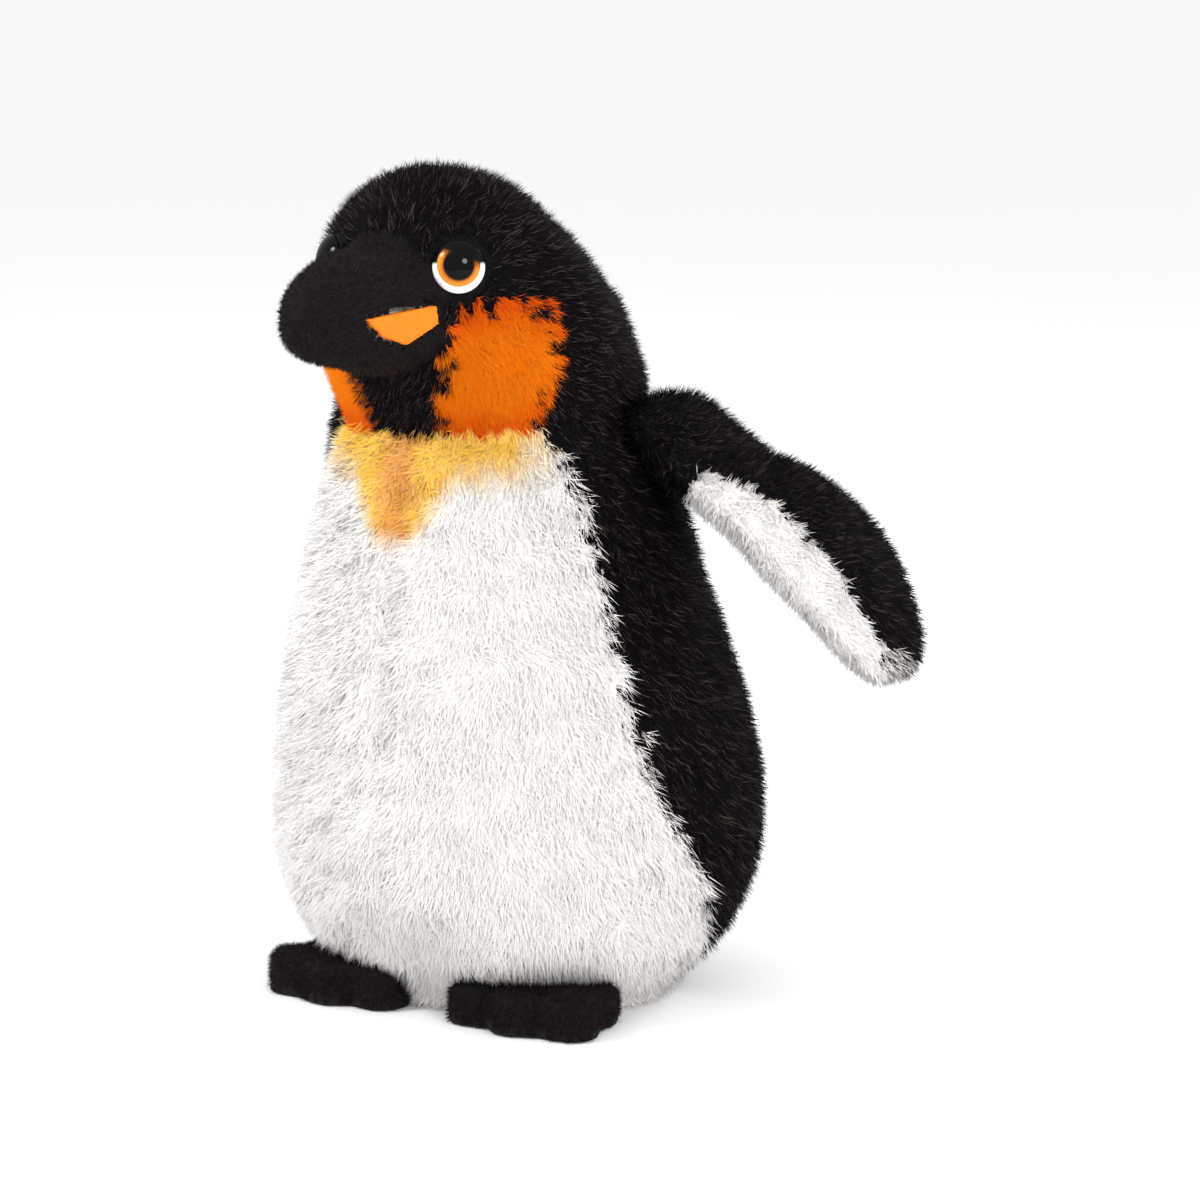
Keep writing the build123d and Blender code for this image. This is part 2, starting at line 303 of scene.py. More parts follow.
def eye_finish(side):
    """Glossy dome and its print: black pupil, amber spokes, white crescent below, and the upper iris
    darkened to black as painted shade of the lid.

    Radii are measured from the look axis, in the plane across it, so the print is the same from any side.
    """
    finish = Finish(f"eye_print_{side}")
    look = eye_look(side)
    right = unit(np.cross([0, 0, 1.0], look))
    up = np.cross(look, right)
    offset = finish.node(
        "ShaderNodeVectorMath", {"operation": "SUBTRACT"}, {0: finish.place(), 1: tuple(EYE_MIDDLES[side])}
    )[0]

    def along(axis):
        settings = {"operation": "DOT_PRODUCT"}
        return finish.node("ShaderNodeVectorMath", settings, {0: offset, 1: tuple(axis)})["Value"]

    x, y = along(right), along(up)
    radius = (x * x + y * y) ** 0.5
    iris = (x * x + (y - 0.0006) * (y - 0.0006)) ** 0.5
    spokes = finish.noise(1300.0, 2.0)
    # Painted shade of the lid: the upper iris darkens to black.
    lid_shade = finish.step(y + 0.4 * x, 0.0008, 0.0042)
    amber = finish.mix(finish.step(iris, 0.0040, 0.0056), (0.30, 0.055, 0.008), (0.86, 0.30, 0.035))
    amber = finish.mix(spokes * 0.5, amber, (0.25, 0.05, 0.008))
    black = (0.0015, 0.0012, 0.0012)
    amber = finish.mix(lid_shade, amber, black)
    crescent = finish.step(0.0016 - y, 0.0, 0.0012)
    outer = finish.mix(crescent, black, (0.90, 0.89, 0.88))
    colour = finish.mix(finish.step(iris, 0.0060, 0.0062), amber, outer)
    colour = finish.mix(1 - finish.step(iris, 0.0040, 0.0047), colour, black)
    colour = finish.mix(finish.step(radius, 0.0072, 0.0075), colour, black)
    finish.set(Base_Color=colour, Roughness=0.3 + 0.05 * spokes)
    finish.set(Coat_Weight=0.4, Coat_Roughness=0.02, Coat_IOR=1.36, Specular_IOR_Level=0.0)
    return finish.material


# ---------------------------------------------------------------- mesh work
def points_of(mesh):
    """Points of a mesh."""
    points = np.empty(len(mesh.vertices) * 3, np.float32)
    mesh.vertices.foreach_get("co", points)
    return points.reshape(-1, 3).astype(float)


def triangles(mesh):
    """Corner indices of a mesh's triangles."""
    mesh.calc_loop_triangles()
    corners = np.empty(len(mesh.loop_triangles) * 3, np.int32)
    mesh.loop_triangles.foreach_get("vertices", corners)
    return corners.reshape(-1, 3)


def new_object(name, points, faces, material=None):
    """A mesh object at the origin from points and equal-sized faces."""
    mesh = bpy.data.meshes.new(name)
    size = faces.shape[1]
    mesh.vertices.add(len(points))
    mesh.vertices.foreach_set("co", points.astype(np.float32).ravel())
    mesh.loops.add(len(faces) * size)
    mesh.loops.foreach_set("vertex_index", faces.astype(np.int32).ravel())
    mesh.polygons.add(len(faces))
    mesh.polygons.foreach_set("loop_start", np.arange(0, len(faces) * size, size, dtype=np.int32))
    mesh.update(calc_edges=True)
    mesh.polygons.foreach_set("use_smooth", np.full(len(faces), True))
    made = bpy.data.objects.new(name, mesh)
    bpy.context.scene.collection.objects.link(made)
    if material:
        mesh.materials.append(material)
    return made


def settled(made):
    """Apply an object's modifiers to its mesh."""
    graph = bpy.context.evaluated_depsgraph_get()
    mesh = bpy.data.meshes.new_from_object(made.evaluated_get(graph))
    made.modifiers.clear()
    made.data = mesh
    return made


def joined(name, nodes):
    """Copy of several CAD nodes as one mesh of triangles."""
    points, faces, count = [], [], 0
    for node in nodes:
        mesh = frame["nodes"][node].data
        points.append(points_of(mesh))
        faces.append(triangles(mesh) + count)
        count += len(points[-1])
    return new_object(name, np.concatenate(points), np.concatenate(faces))


def remeshed(name, nodes, voxel):
    """One closed skin round several CAD nodes."""
    made = joined(name, nodes)
    weld = made.modifiers.new("weld", "WELD")
    weld.merge_threshold = 0.00002
    fuse = made.modifiers.new("fuse", "REMESH")
    fuse.mode = "VOXEL"
    fuse.voxel_size = voxel
    relax = made.modifiers.new("relax", "SMOOTH")
    relax.factor = 0.5
    relax.iterations = 3
    return settled(made)


def normals(mesh):
    """Outward normal at each point."""
    values = np.empty(len(mesh.vertices) * 3, np.float32)
    mesh.vertex_normals.foreach_get("vector", values)
    return values.reshape(-1, 3).astype(float)


def move_points(made, points):
    made.data.vertices.foreach_set("co", points.astype(np.float32).ravel())
    made.data.update()


def face_middles(made):
    """Middle of every face."""
    middles = np.empty(len(made.data.polygons) * 3, np.float32)
    made.data.polygons.foreach_get("center", middles)
    return middles.reshape(-1, 3).astype(float)


def samples_of(node, spacing=2.0 * MM):
    """Points spread evenly over a CAD node's surface."""
    mesh = frame["nodes"][node].data
    corners = points_of(mesh)[triangles(mesh)]
    sides = np.cross(corners[:, 1] - corners[:, 0], corners[:, 2] - corners[:, 0])
    areas = np.linalg.norm(sides, axis=1)
    count = max(200, int(areas.sum() / 2 / spacing**2))
    draws = np.random.default_rng(len(node))
    chosen = draws.choice(len(areas), count, p=areas / areas.sum())
    a, b = draws.random((2, count, 1))
    flip = a + b > 1
    a, b = np.where(flip, 1 - a, a), np.where(flip, 1 - b, b)
    first, second, third = corners[chosen].transpose(1, 0, 2)
    return first + a * (second - first) + b * (third - first)


def nearest_panel(points, panels):
    """Number of the panel whose surface is nearest to each point."""
    clouds = [samples_of(panel) for panel in panels]
    cloud = np.concatenate(clouds).astype(np.float32)
    owner = np.concatenate([np.full(len(part), index) for index, part in enumerate(clouds)])
    lengths = (cloud**2).sum(1)
    found = np.empty(len(points), int)
    for start in range(0, len(points), 1500):
        block = points[start:start + 1500].astype(np.float32)
        found[start:start + 1500] = owner[(lengths - 2 * block @ cloud.T).argmin(1)]
    return found


def puffed(made, held, pressure, cap):
    """Blow the cloth up between its seams, which are held, and cap each point's move."""
    start = points_of(made.data)
    group = made.vertex_groups.new(name="seams")
    group.add(np.flatnonzero(held).tolist(), 1.0, "REPLACE")
    cloth = made.modifiers.new("cloth", "CLOTH")
    settings = cloth.settings
    settings.vertex_group_mass = group.name
    settings.use_pressure = True
    settings.uniform_pressure_force = pressure
    settings.quality = 4
    settings.tension_stiffness = 12
    settings.compression_stiffness = 12
    settings.bending_stiffness = 0.8
    settings.effector_weights.gravity = 0
    cloth.collision_settings.use_collision = False
    scene = bpy.context.scene
    for step in range(1, 17):
        scene.frame_set(step)
    end = points_of(made.evaluated_get(bpy.context.evaluated_depsgraph_get()).data)
    made.modifiers.clear()
    made.vertex_groups.clear()
    scene.frame_set(1)
    move = end - start
    length = np.linalg.norm(move, axis=1, keepdims=True)
    move_points(made, start + move * np.minimum(1, cap / (length + 1e-9)))
    return made


def stuffed_form(name, nodes, panels, voxel, depth, shape=None, pressure=4.0, cap=2.2 * MM):
    """Stuffed shape whose panels are sewn along seams.

    It is the skin round the nodes, drawn in by depth (a length for each panel) to leave room for the pile,
    blown up between the seams, and subdivided once. Returns the object and each face's panel.
    """
    made = remeshed(name, nodes, voxel)
    points = points_of(made.data)
    outward = normals(made.data)
    panel = nearest_panel(points, panels)
    draw_in = np.array(depth)[panel]
    edges = np.empty(len(made.data.edges) * 2, np.int32)
    made.data.edges.foreach_get("vertices", edges)
    edges = edges.reshape(-1, 2)
    for _ in range(3):
        total = np.zeros(len(points))
        count = np.zeros(len(points))
        for here, there in (edges.T, edges.T[::-1]):
            np.add.at(total, here, draw_in[there])
            np.add.at(count, here, 1)
        draw_in = 0.4 * draw_in + 0.6 * total / count
    flat_below = smooth(-outward[:, 2], 0.75, 0.95) * smooth(-points[:, 2], -12 * MM, -6 * MM)
    points = points - outward * (draw_in * (1 - flat_below))[:, None]
    move_points(made, points)
    seam = np.zeros(len(points), bool)
    across = panel[edges[:, 0]] != panel[edges[:, 1]]
    seam[edges[across].ravel()] = True
    seam |= points[:, 2] < 3 * MM
    puffed(made, seam, pressure, cap)
    points = points_of(made.data)
    if shape:
        points = shape(points, normals(made.data))
    points = points + normals(made.data) * (wobble(points, 26 * MM, 7)[:, :1] * 0.35 * MM)
    points[:, 2] = np.maximum(points[:, 2], 0.2 * MM)
    move_points(made, points)
    finer = made.modifiers.new("finer", "SUBSURF")
    finer.levels = finer.render_levels = 1
    settled(made)
    return made, nearest_panel(face_middles(made), panels)


def quads_of(form, face_panel, index):
    """Corner indices of a form's faces on one panel."""
    mesh = form.data
    quads = np.empty(len(mesh.polygons) * 4, np.int32)
    mesh.polygons.foreach_get("vertices", quads)
    return quads.reshape(-1, 4)[face_panel == index]


def panel_piece(name, form, face_panel, index, material, thickness=0.8 * MM):
    """One panel cut out of a form, with a thickness inwards and closed edges."""
    quads = quads_of(form, face_panel, index)
    points, outward = points_of(form.data), normals(form.data)
    used, faces = np.unique(quads, return_inverse=True)
    faces = faces.reshape(-1, 4)
    count = len(used)
    top = points[used]
    bottom = top - outward[used] * thickness
    loops = np.concatenate([faces[:, [i, (i + 1) % 4]] for i in range(4)])
    code = loops[:, 0].astype(np.int64) * count + loops[:, 1]
    back = loops[:, 1].astype(np.int64) * count + loops[:, 0]
    rim = loops[~np.isin(code, back)]
    walls = np.stack([rim[:, 1], rim[:, 0], rim[:, 0] + count, rim[:, 1] + count], 1)
    faces = np.concatenate([faces, faces[:, ::-1] + count, walls])
    return new_object(name, np.concatenate([top, bottom]), faces, material)


def scattered(form, face_panel, index, count, draws):
    """Evenly random points on one panel of a form, with the surface's normal there."""
    quads = quads_of(form, face_panel, index)
    points, outward = points_of(form.data), normals(form.data)
    corner = points[quads]
    areas = np.linalg.norm(np.cross(corner[:, 2] - corner[:, 0], corner[:, 3] - corner[:, 1]), axis=1)
    chosen = draws.choice(len(quads), count, p=areas / areas.sum())
    u, v = draws.random((2, count, 1))

    def blended(values):
        a, b, c, d = values[quads[chosen]].transpose(1, 0, 2)
        return (1 - u) * (1 - v) * a + u * (1 - v) * b + u * v * c + (1 - u) * v * d

    return blended(points), unit(blended(outward))


def clump_pull(points, size, seed):
    """Vector from each point to the middle of its tuft: a jittered cell of a warped grid."""
    warped = points + wobble(points, 3 * size, seed) * 0.35 * size
    cell = np.floor(warped / size).astype(np.int64)
    mixed = cell @ np.array([73856093, 19349663, 83492791]) + seed
    jitter = np.stack([np.sin(mixed * k) for k in (12.9898, 78.233, 37.719)], 1) * 0.35
    return (cell + 0.5 + jitter) * size - warped


def pile(name, root, outward, nap, length, width, lean, material, seed, tuft=3.2 * MM, mess=0.3):
    """Strands of pile: each is a closed three-sided spike from three points round its root to one tip.

    The tip lies length away along outward * cos(lean) + nap * sin(lean), bent by a smooth field and pulled
    towards the middle of its tuft.
    """
    draws = np.random.default_rng(seed)
    count = len(root)
    nap = nap - (nap * outward).sum(1, keepdims=True) * outward
    nap = unit(nap + 0.35 * wobble(root, 11 * MM, seed) + 0.2 * wobble(root, 30 * MM, seed + 1))
    nap = unit(nap - (nap * outward).sum(1, keepdims=True) * outward)
    tilt = np.clip(lean + 0.16 * draws.normal(size=(count, 1)), 0.05, 1.35)
    heading = outward * np.cos(tilt) + nap * np.sin(tilt) + mess * draws.normal(size=(count, 3))
    reach = length * draws.uniform(0.72, 1.12, size=(count, 1))
    pull = clump_pull(root, tuft, seed)
    pull = pull - (pull * outward).sum(1, keepdims=True) * outward
    tip = root + unit(heading) * reach + 0.38 * pull
    tip[:, 2] = np.maximum(tip[:, 2], 0.3 * MM)
    first = unit(np.cross(outward, nap))
    second = np.cross(outward, first)
    turn = draws.uniform(0, 2 * math.pi, size=(count, 1))
    sunk = root - outward * 0.5 * MM
    ring = []
    for corner in range(3):
        angle = turn + corner * 2 * math.pi / 3
        ring.append(sunk + (first * np.cos(angle) + second * np.sin(angle)) * width)
    points = np.stack([*ring, tip], 1).reshape(-1, 3)
    points[:, 2] = np.maximum(points[:, 2], 0.1 * MM)
    spike = np.array([[0, 1, 3], [1, 2, 3], [2, 0, 3], [2, 1, 0]])
    corners = points.reshape(-1, 4, 3)
    ahead = np.cross(corners[:, 1] - corners[:, 0], corners[:, 2] - corners[:, 0])
    inside_out = (ahead * (corners[:, 3] - corners[:, 0])).sum(1) < 0
    faces = np.where(inside_out[:, None, None], spike[None, :, ::-1], spike[None])
    faces = (faces + 4 * np.arange(count)[:, None, None]).reshape(-1, 3)
    made = new_object(name, points, faces, material)
    mesh = made.data
    along = np.tile([0.0, 0.0, 0.0, 1.0], count)
    shade = np.repeat(draws.random(count), 4)
    for label, values in (("along", along), ("shade", shade)):
        mesh.attributes.new(label, "FLOAT", "POINT").data.foreach_set("value", values.astype(np.float32))
    side = unit(corners - corners.mean(1, keepdims=True))
    soft = unit(outward[:, None] * 0.9 + side * np.array([0.45, 0.45, 0.45, 0.25])[None, :, None])
    normal = mesh.attributes.new("custom_normal", "FLOAT_VECTOR", "POINT")
    normal.data.foreach_set("vector", soft.reshape(-1).astype(np.float32))
    mesh.update()
    return made


# ---------------------------------------------------------------- finishes of this penguin
# Root colours here are painted shade down among the strands; the paler strand colours are painted glints
# at the tips of a few strands.
BLACK = {
    "root": (0.0012, 0.0009, 0.001), "tip": (0.0036, 0.0024, 0.0028), "tip_glints": (0.19, 0.135, 0.13),
    "roughness": 0.5, "gloss": 0.05, "glint_share": 0.84,
}
WHITE = {
    "root": (0.88, 0.83, 0.79), "tip": (0.95, 0.925, 0.905), "tip_glints": (0.97, 0.96, 0.95),
    "gloss": 0.08,
}
ORANGE = {
    "root": (0.62, 0.055, 0.001), "tip": (0.97, 0.215, 0.003), "tip_glints": (1.0, 0.36, 0.012),
    "gloss": 0.05,
}
FLEECE = {
    "root": (0.003, 0.002, 0.0023), "tip": (0.010, 0.0058, 0.0068), "tip_glints": (0.06, 0.042, 0.042),
    "roughness": 0.6, "gloss": 0.05, "glint_share": 0.65,
}
FINISHES = {
    "black_pile": pile_finish("black_pile", **BLACK),
    "white_pile": pile_finish("white_pile", **WHITE),
    "bib_pile": pile_finish("bib_pile", **WHITE, paint=bib_colour),
    "orange_pile": pile_finish("orange_pile", **ORANGE, paint=cheek_colour),
    "fleece_pile": pile_finish("fleece_pile", **FLEECE),
    "black_cloth": cloth_finish("black_cloth", (0.004, 0.0035, 0.0035)),
    "white_cloth": cloth_finish("white_cloth", (0.90, 0.86, 0.82)),
    "bib_cloth": cloth_finish("bib_cloth", (0.90, 0.86, 0.82), paint=bib_colour),
    "orange_cloth": cloth_finish("orange_cloth", (0.70, 0.09, 0.002)),
    "orange_felt": felt_finish("orange_felt", (0.98, 0.27, 0.02), (0.75, 0.13, 0.01)),
    "black_fleece": felt_finish("black_fleece", (0.007, 0.006, 0.0055), (0.003, 0.0025, 0.0025)),
    "sole_cloth": cloth_finish("sole_cloth", (0.010, 0.008, 0.008)),
    "fibre": fibre_finish("fibre", (0.86, 0.85, 0.82)),
    "pellet_cloth": cloth_finish("pellet_cloth", (0.62, 0.60, 0.54)),
    "black_plastic": plastic_finish("black_plastic", (0.012, 0.012, 0.013)),
}


# ---------------------------------------------------------------- nap, the way the pile lies
def nap_down(root):
    """Straight down, a little outwards from the middle line at the bottom."""
    fall = np.tile([0.0, 0.0, -1.0], (len(root), 1))
    fall[:, 0] += 3.0 * root[:, 0]
    return fall


def nap_hood(root):
    """Away from the beak: up the brow, back over the crown and down the nape."""
    away = root - np.array([0.0, BEAK_LOW[1] * 0.6, BEAK_HIGH[2] - 12 * MM])
    away = unit(away)
    fall = smooth(root[:, 1], HEAD_MIDDLE[1] - 12 * MM, HEAD_MIDDLE[1] + 12 * MM)[:, None]
    nap = away * (1 - 0.55 * fall) + fall * np.array([0.0, 0.25, -1.0]) + np.array([0.0, 0.35, -0.15])
    for side in SIDES:
        offset = root - EYE_MIDDLES[side]
        distance = np.linalg.norm(offset, axis=1, keepdims=True)
        near = 1 - smooth(distance, EYE_RADIUS * 1.1, EYE_RADIUS * 2.0)
        nap = nap * (1 - near) + unit(offset) * near
    return nap


def nap_cheek(root):
    """Down and back."""
    nap = np.tile([0.0, 0.35, -1.0], (len(root), 1))
    nap[:, 0] = np.sign(root[:, 0]) * 0.4
    return nap


def nap_beak(root):
    """Back from the tip towards the face."""
    return np.tile([0.0, 1.0, 0.0], (len(root), 1))


def wing_heading(side):
    """Unit vector from the shoulder along a wing."""
    low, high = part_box(f"wing_stuffing_{side}")
    middle_point = (np.array(low) + np.array(high)) / 2
    along = middle_point - np.array(JOINTS[f"{side}_wing"]["pos_m"])
    return unit(along)


def nap_wing(side):
    """From the shoulder to the tip of a wing."""
    return lambda root: np.tile(wing_heading(side), (len(root), 1))


def rooted(side):
    """Shape function that draws a wing's root end into the shoulder, as sewn cloth is."""
    pivot = np.array(JOINTS[f"{side}_wing"]["pos_m"])
    along = wing_heading(side)

    def shape(points, outward):
        reach = (points - pivot) @ along
        pull = smooth(12 * MM - reach, 0, 16 * MM)[:, None]
        return points + pull * (outward * 3.5 * MM - along * 13 * MM + np.array([0, 0, 3.5 * MM]))

    return shape


def at_root(points, side):
    """True for points at a wing's root, above the underarm, where the black panel wraps right round."""
    reach = points - np.array(JOINTS[f"{side}_wing"]["pos_m"])
    return (reach @ wing_heading(side) < 9 * MM) & (reach[:, 2] > -9 * MM)


# ---------------------------------------------------------------- main form: body, head and beak
def shape_torso(points, outward):
    """Grooves at the seams and the neck, two fuller lobes over the feet, a full brow between the eyes.

    Each groove is a bell curve of the distance from its seam, cut along the normal.
    """
    below_neck = 1 - smooth(points[:, 2], NECK_HEIGHT - 4 * MM, NECK_HEIGHT + 4 * MM)
    front = smooth(-outward[:, 1], 0.2, 0.6)
    middle_seam = np.exp(-((points[:, 0] / (4 * MM)) ** 2)) * below_neck
    neck = np.exp(-(((points[:, 2] - NECK_HEIGHT) / (5 * MM)) ** 2))
    lobes = np.exp(-(((np.abs(points[:, 0]) - 32 * MM) / (17 * MM)) ** 2))
    lobes = lobes * np.exp(-(((points[:, 2] - 24 * MM) / (14 * MM)) ** 2)) * front
    bridge = np.exp(-((points[:, 0] / (11 * MM)) ** 2)) * smooth(-outward[:, 1], 0.1, 0.6)
    bridge = bridge * np.exp(-(((points[:, 2] - EYE_MIDDLES["left"][2] - 2 * MM) / (11 * MM)) ** 2))
    move = 2.4 * MM * lobes - 1.9 * MM * middle_seam - 1.6 * MM * neck + 4.6 * MM * bridge
    return points + outward * move[:, None]


TORSO_PANELS = {
    # panel: (cloth, pile, depth of skin under the CAD surface, strands, length, half width, lean, nap)
    # Depth, length and half width in millimetres, lean in radians. No cloth: made as a piece of its own.
    "belly_left": ("bib_cloth", "bib_pile", 3.2, 34000, 6.0, 0.23, 0.92, nap_down),
    "belly_right": ("bib_cloth", "bib_pile", 3.2, 34000, 6.0, 0.23, 0.92, nap_down),
    "back_left": ("black_cloth", "black_pile", 3.0, 44000, 5.8, 0.25, 0.95, nap_down),
    "back_right": ("black_cloth", "black_pile", 3.0, 44000, 5.8, 0.25, 0.95, nap_down),
    "hood_left": ("black_cloth", "black_pile", 2.4, 30000, 4.6, 0.21, 0.92, nap_hood),
    "hood_right": ("black_cloth", "black_pile", 2.4, 30000, 4.6, 0.21, 0.92, nap_hood),
    "cheek_left": ("orange_cloth", "orange_pile", 2.4, 13000, 4.2, 0.14, 0.78, nap_cheek),
    "cheek_right": ("orange_cloth", "orange_pile", 2.4, 13000, 4.2, 0.14, 0.78, nap_cheek),
    "chin_patch": ("black_cloth", "black_pile", 2.4, 9000, 4.6, 0.19, 0.92, nap_down),
    "beak_upper": ("black_fleece", "fleece_pile", 0.9, 10000, 1.9, 0.15, 1.0, nap_beak),
    "beak_lower": ("black_fleece", "fleece_pile", 0.9, 8500, 1.9, 0.15, 1.0, nap_beak),
    "beak_stripe_left": (None, None, 0.9, 0, 0, 0, 0, None),
    "beak_stripe_right": (None, None, 0.9, 0, 0, 0, 0, None),
    "base_panel": ("white_cloth", None, 0.6, 0, 0, 0, 0, None),
}
MOST_STRANDS = 48000


def clear_of_eyes(root, margin=1.0 * MM):
    """True for points that aren't under an eye."""
    clear = np.ones(len(root), bool)
    for eye in EYE_MIDDLES.values():
        clear &= np.linalg.norm(root - eye, axis=1) > EYE_RADIUS + margin
    return clear


def clear_of_shoulders(root):
    """True for points that aren't inside the root of a wing."""
    clear = np.ones(len(root), bool)
    for joint in JOINTS.values():
        offset = root - np.array(joint["pos_m"])
        clear &= ~((np.hypot(offset[:, 0], offset[:, 2]) < 11.0 * MM) & (np.abs(offset[:, 1]) < 12 * MM))
    return clear


def attach(piece, body):
    """Ride on the root body; any other piece only has its placement applied to its mesh."""
    if body == "root":
        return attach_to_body(piece, body)
    pivot = np.array(JOINTS[body]["pos_m"])
    along = wing_heading(body.replace("_wing", ""))
    start = tuple(pivot - 9 * MM * along)
    end = tuple(pivot + 16 * MM * along)
    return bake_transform(piece)


def dressed(form, face_panel, panels, body, seed):
    """Cut a form into its panels and grow each panel's pile."""
    for index, (panel, spec) in enumerate(panels.items()):
        cloth, pile_name, _, strands, length, half_width, lean, nap = spec
        if cloth is None:
            continue
        skin = panel_piece(f"{panel}_cloth", form, face_panel, index, FINISHES[cloth])
        attach(skin, body)
        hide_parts(panel)
        draws = np.random.default_rng(seed + index)
        root, outward = scattered(form, face_panel, index, strands, draws) if strands else (None, None)
        if root is None:
            continue
        keep = clear_of_eyes(root) & clear_of_shoulders(root)
        root, outward = root[keep], outward[keep]
        parts = max(1, math.ceil(len(root) / MOST_STRANDS))
        for part in range(parts):
            name = f"{panel}_pile" if parts == 1 else f"{panel}_pile_{part + 1}"
            some = slice(part, None, parts)
            grown = pile(
                name, root[some], outward[some], nap(root[some]), length * MM, half_width * MM, lean,
                FINISHES[pile_name], seed=seed, tuft=(0.45 * length + 0.4) * MM,
            )
            attach(grown, body)
    bpy.data.objects.remove(form)


torso_nodes = [*TORSO_PANELS, "body_stuffing", "head_stuffing", "beak_stuffing", "pellet_bag"]
torso_nodes += [f"eye_shank_{side}" for side in SIDES]
torso, torso_faces = stuffed_form(
    "torso", torso_nodes, list(TORSO_PANELS), 3.0 * MM,
    [spec[2] * MM for spec in TORSO_PANELS.values()], shape=shape_torso,
)
dressed(torso, torso_faces, TORSO_PANELS, "root", 11)


def beak_stripe(side):
    """Felt wedge on the side of the beak: its CAD shell, remeshed finely and rounded at its edges."""
    node = f"beak_stripe_{side}"
    made = remeshed(f"{node}_felt", [node], 0.5 * MM)
    points = points_of(made.data)
    fuzz = wobble(points, 1.2 * MM, 5)[:, :1] * 0.08 * MM
    move_points(made, points + normals(made.data) * (fuzz - 0.05 * MM))
    made.data.materials.append(FINISHES["orange_felt"])
    made.data.polygons.foreach_set("use_smooth", np.full(len(made.data.polygons), True))
    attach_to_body(made, "root")
    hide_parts(node)


for side in SIDES:
    beak_stripe(side)

# ---------------------------------------------------------------- wings and feet
for side in SIDES:
    wing_panels = {
        f"wing_outer_{side}": ("black_cloth", "black_pile", 2.6, 21500, 4.6, 0.21, 1.0, nap_wing(side)),
        f"wing_inner_{side}": ("white_cloth", "white_pile", 2.6, 21500, 4.0, 0.19, 1.0, nap_wing(side)),
    }
    wing, wing_faces = stuffed_form(
        f"wing_{side}", [*wing_panels, f"wing_stuffing_{side}"], list(wing_panels), 2.6 * MM,
        [spec[2] * MM for spec in wing_panels.values()], shape=rooted(side), cap=1.6 * MM,
    )
    wing_faces[at_root(face_middles(wing), side)] = list(wing_panels).index(f"wing_outer_{side}")
    dressed(wing, wing_faces, wing_panels, f"{side}_wing", 40 + SIDES[side])

    foot_panels = {
        f"foot_top_{side}": ("black_fleece", "fleece_pile", 1.2, 9000, 2.3, 0.17, 0.92, nap_cheek),
        f"foot_sole_{side}": ("sole_cloth", "fleece_pile", 0.4, 1500, 1.2, 0.14, 1.2, nap_beak),
    }
    foot, foot_faces = stuffed_form(
        f"foot_{side}", [*foot_panels, f"foot_stuffing_{side}"], list(foot_panels), 1.8 * MM,
        [spec[2] * MM for spec in foot_panels.values()], cap=1.5 * MM,
    )
    dressed(foot, foot_faces, foot_panels, "root", 60 + SIDES[side])


# ---------------------------------------------------------------- filling
def filling(node, body, finish_name, voxel=3.5 * MM):
    """Lumpy filling in a cavity: the cavity's shape drawn in by a smooth random depth."""
    made = remeshed(f"{node}_filling", [node], voxel)
    points = points_of(made.data)
    depth = 1.6 * MM + 0.7 * MM * wobble(points, 14 * MM, 3)[:, :1]
    move_points(made, points - normals(made.data) * np.clip(depth, 0.6 * MM, 3 * MM))
    made.data.materials.append(FINISHES[finish_name])
    made.data.polygons.foreach_set("use_smooth", np.full(len(made.data.polygons), True))
    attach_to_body(made, body)
    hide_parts(node)


for node in ("body_stuffing", "head_stuffing", "beak_stuffing"):
    filling(node, "root", "fibre")
filling("pellet_bag", "root", "pellet_cloth")
for side in SIDES:
    filling(f"foot_stuffing_{side}", "root", "fibre", 1.6 * MM)
    filling(f"wing_stuffing_{side}", f"{side}_wing", "fibre", 2.0 * MM)


# ---------------------------------------------------------------- eyes
def eye_dome(side):
    """Low cap of a sphere over a short straight rim: a profile turned about the look axis."""
    look = eye_look(side)
    right = unit(np.cross([0, 0, 1.0], look))
    up = np.cross(look, right)
    seat = EYE_MIDDLES[side] - look * 0.3 * MM
    rim, rise = 0.8 * MM, 3.8 * MM
    bow = (EYE_RADIUS**2 + rise**2) / (2 * rise)
    angles = np.linspace(0, math.asin(EYE_RADIUS / bow), 18)[1:]
    radii = np.concatenate([bow * np.sin(angles), [EYE_RADIUS, EYE_RADIUS * 0.92]])
    heights = np.concatenate([rim + rise - bow * (1 - np.cos(angles)), [0.1 * MM, 0.0]])
    turns = np.linspace(0, 2 * math.pi, 64, endpoint=False)
    circle = np.cos(turns)[:, None] * right + np.sin(turns)[:, None] * up
    rings = seat + radii[:, None, None] * circle[None] + heights[:, None, None] * look
    poles = seat + np.array([[rim + rise], [0.0]]) * look
    points = np.concatenate([rings.reshape(-1, 3), poles])
    rows, around = len(radii), len(turns)
    here = np.arange(around)
    after = (here + 1) % around
    strips = [
        np.stack([row * around + here, (row + 1) * around + here, (row + 1) * around + after,
                  row * around + after], 1)
        for row in range(rows - 1)
    ]
    quads = np.concatenate(strips)
    halves = np.concatenate([quads[:, [0, 1, 2]], quads[:, [0, 2, 3]]])
    top = np.stack([np.full(around, rows * around), here, after], 1)
    last = (rows - 1) * around
    bottom = np.stack([np.full(around, rows * around + 1), last + after, last + here], 1)
    made = new_object(f"eye_dome_{side}", points, np.concatenate([halves, top, bottom]), eye_finish(side))
    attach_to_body(made, "root")
    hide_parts(f"eye_lens_{side}")
    return made


for side in SIDES:
    dome = eye_dome(side)
    frame["nodes"][f"eye_iris_{side}"].material_slots[0].material = dome.data.materials[0]
    for part in ("shank", "washer"):
        frame["nodes"][f"eye_{part}_{side}"].material_slots[0].material = FINISHES["black_plastic"]


# ---------------------------------------------------------------- stage, light and camera
FLOOR_HALF = 60.0


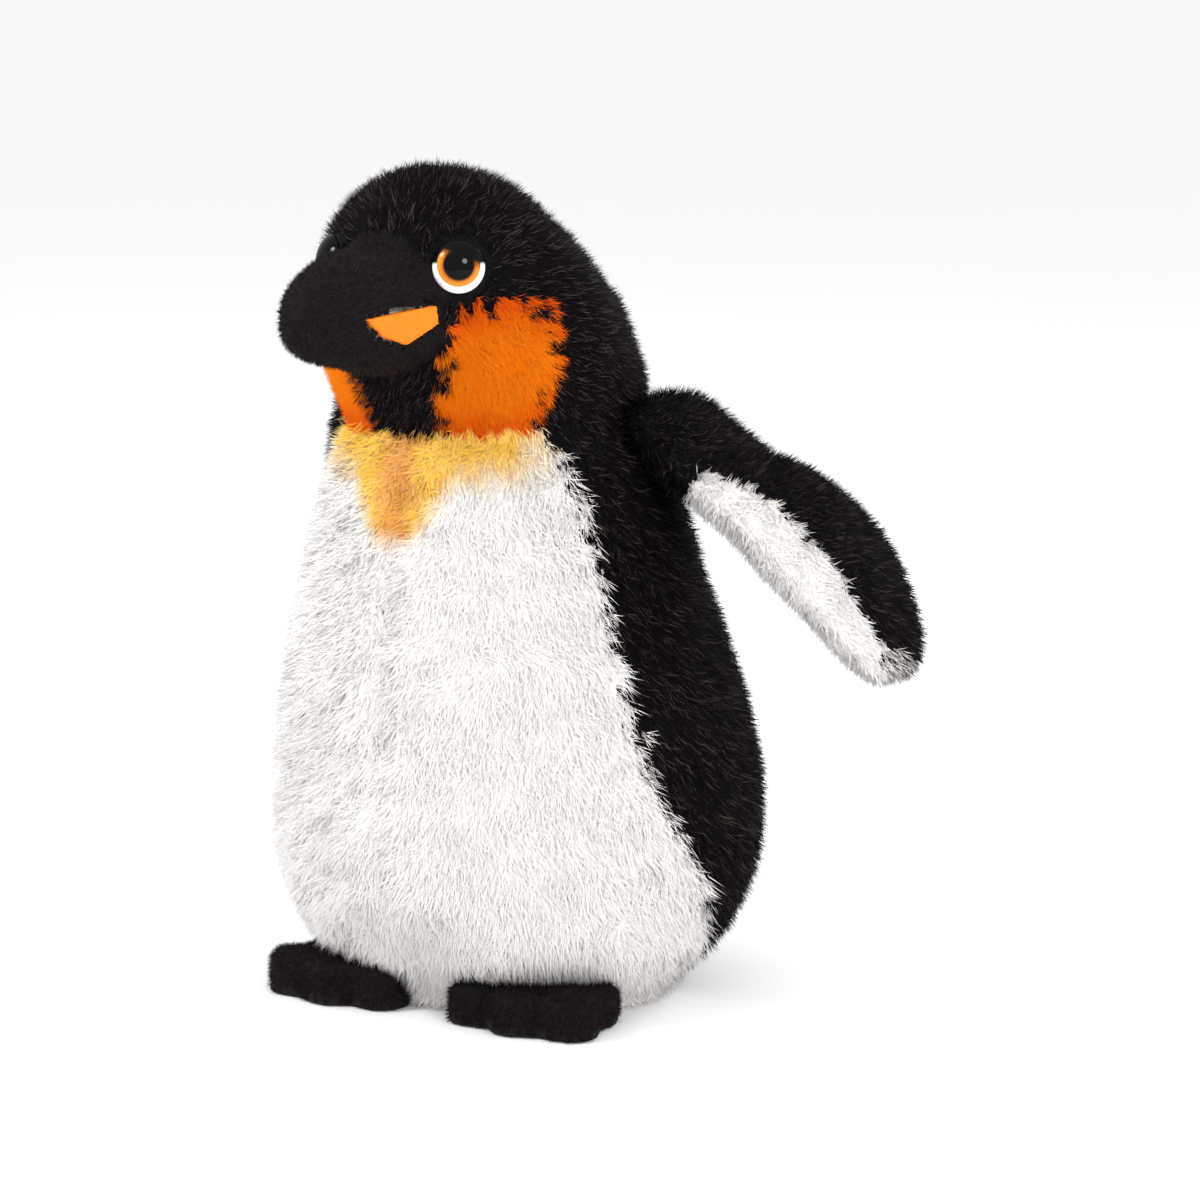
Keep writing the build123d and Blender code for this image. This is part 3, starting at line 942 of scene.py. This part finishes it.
def stage():
    """Pale floor, a soft lamp on each side, a weak one behind, and a bright even sky."""
    corners = FLOOR_HALF * np.array([[-1.0, -1, 0], [1, -1, 0], [1, 1, 0], [-1, 1, 0]])
    floor = new_object("floor", corners, np.array([[0, 1, 2, 3]]))
    paint = Finish("floor_paint")
    mottle = paint.noise(3.0)
    paint.set(Base_Color=paint.mix(mottle * 0.2, (0.93, 0.93, 0.93), (0.90, 0.90, 0.90)), Roughness=0.7)
    floor.data.materials.append(paint.material)
    world = bpy.data.worlds.new("studio")
    world.use_nodes = True
    world.node_tree.nodes["Background"].inputs[0].default_value = (1.0, 1.0, 1.0, 1)
    world.node_tree.nodes["Background"].inputs[1].default_value = 1.0
    bpy.context.scene.world = world
    lamps = {
        "left": ((-0.75, -1.05, 1.15), 0.4, 15.0),
        "right": ((1.35, -0.85, 0.9), 0.5, 15.0),
        "back": ((0.6, 1.2, 1.0), 0.6, 8.0),
    }
    aim = np.array([0, 0, 0.14])
    for name, (place, size, power) in lamps.items():
        data = bpy.data.lights.new(name, "AREA")
        data.shape = "DISK"
        data.size = size
        data.energy = power
        lamp = bpy.data.objects.new(name, data)
        bpy.context.scene.collection.objects.link(lamp)
        lamp.matrix_world = facing(np.array(place), aim)


def facing(place, aim):
    """Placement at a point, looking at another, with up kept up."""
    back = unit(place - aim)
    right = unit(np.cross([0, 0, 1.0], back))
    up = np.cross(back, right)
    return Matrix([[right[i], up[i], back[i], place[i]] for i in range(3)] + [[0, 0, 0, 1]])


VIEW_TURN = math.radians(33)  # camera to the penguin's left of its front
VIEW_LIFT = math.radians(9)
VIEW_DISTANCE = 1.2
VIEW_WIDTH = 0.3582  # width of the picture at the penguin's middle
VIEW_OFFSET = (0.0269, -0.0073)  # the penguin stands left of the picture's middle, and a little above


def photographer():
    """Long lens, a little above the head's height."""
    level = np.array([math.sin(VIEW_TURN), -math.cos(VIEW_TURN), 0])
    back = level * math.cos(VIEW_LIFT) + np.array([0, 0, math.sin(VIEW_LIFT)])
    right = unit(np.cross([0, 0, 1.0], back))
    up = np.cross(back, right)
    aim = np.array([0, 0, 0.125]) + right * VIEW_OFFSET[0] + up * VIEW_OFFSET[1]
    data = bpy.data.cameras.new("camera")
    data.sensor_width = 36.0
    data.lens = 36.0 * VIEW_DISTANCE / VIEW_WIDTH
    camera = bpy.data.objects.new("camera", data)
    bpy.context.scene.collection.objects.link(camera)
    camera.matrix_world = facing(aim + back * VIEW_DISTANCE, aim)
    bpy.context.scene.camera = camera


stage()
photographer()
bpy.context.scene.view_settings.view_transform = "Standard"
